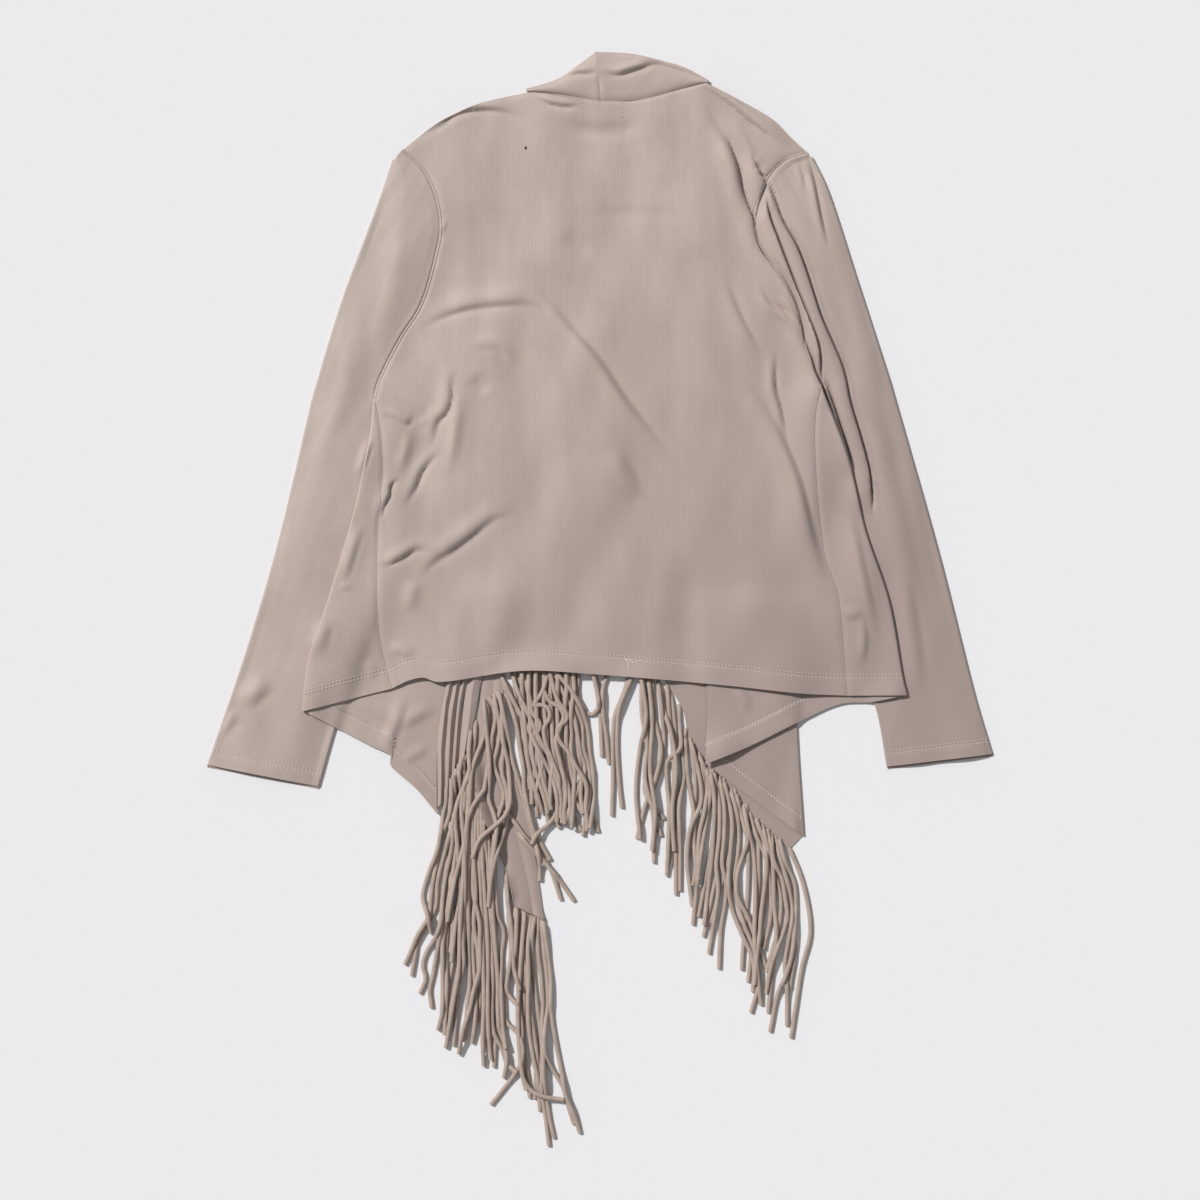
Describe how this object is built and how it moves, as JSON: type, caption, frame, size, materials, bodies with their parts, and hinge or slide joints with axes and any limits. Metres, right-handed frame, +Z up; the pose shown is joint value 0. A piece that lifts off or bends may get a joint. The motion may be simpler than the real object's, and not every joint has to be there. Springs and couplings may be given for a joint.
{
  "type": "wrap cardigan",
  "caption": "Long-sleeved wrap cardigan in fine jersey with a rolled collar, draped fronts and a long cord fringe, laid flat on its front with its back up.",
  "frame": {"origin": "Centre of the laid garment on the surface it lies on", "axes": "+Z up out of the garment's back, +Y from the fringe towards the collar, +X to the right as the laid back is seen from above"},
  "size_m": [0.784, 1.0948, 0.0126],
  "materials": {
    "jersey": "taupe fine viscose jersey, soft sheen",
    "fringe_cord": "taupe rolled jersey strips"
  },
  "bodies": {
    "root": {"back": "jersey", "sleeve_left": "jersey", "sleeve_right": "jersey", "front_left": "jersey", "front_right": "jersey", "front_left_inner": "jersey", "front_left_pleats": "jersey", "front_left_tail": "jersey", "front_right_drape": "jersey", "collar_left": "jersey", "collar_right": "jersey", "fringe_right_outer": "fringe_cord", "fringe_right_upper": "fringe_cord", "fringe_left_inner": "fringe_cord", "fringe_inner_upper": "fringe_cord", "fringe_centre": "fringe_cord", "fringe_left_under": "fringe_cord", "fringe_left_pleats": "fringe_cord", "fringe_left_upper": "fringe_cord", "fringe_left_tail": "fringe_cord"}
  },
  "joints": []
}
